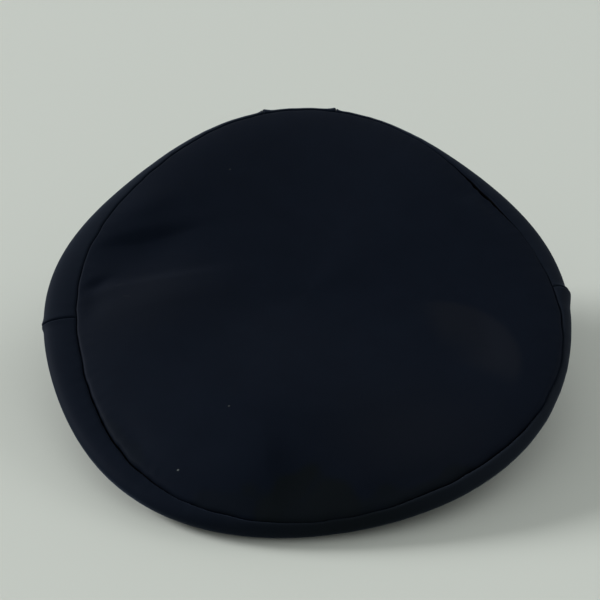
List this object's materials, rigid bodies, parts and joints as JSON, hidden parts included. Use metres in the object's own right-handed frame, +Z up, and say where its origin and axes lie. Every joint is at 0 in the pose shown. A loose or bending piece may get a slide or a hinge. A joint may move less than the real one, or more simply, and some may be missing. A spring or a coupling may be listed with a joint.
{
  "type": "police hat",
  "caption": "Peaked police cap: a wide soft cloth crown, high in front and sunk to the floor behind, on a plain cloth band with a glossy curved peak; worn on the head, rests on band and peak.",
  "frame": {"origin": "on the surface that the cap rests on, under the middle of the cap's box", "axes": "+Z up, -Y the way the cap faces, +X to the wearer's left"},
  "size_m": [0.2662, 0.301, 0.0954],
  "materials": {
    "crown_cloth": "matte navy twill",
    "band_cloth": "matte navy twill, wrapped round a stiff band",
    "peak_gloss": "polished black"
  },
  "bodies": {
    "root": {"top_panel": "crown_cloth", "front_panel": "crown_cloth", "quarter_left": "crown_cloth", "quarter_right": "crown_cloth", "back_quarter": "crown_cloth", "band": "band_cloth", "peak": "peak_gloss"}
  },
  "joints": []
}
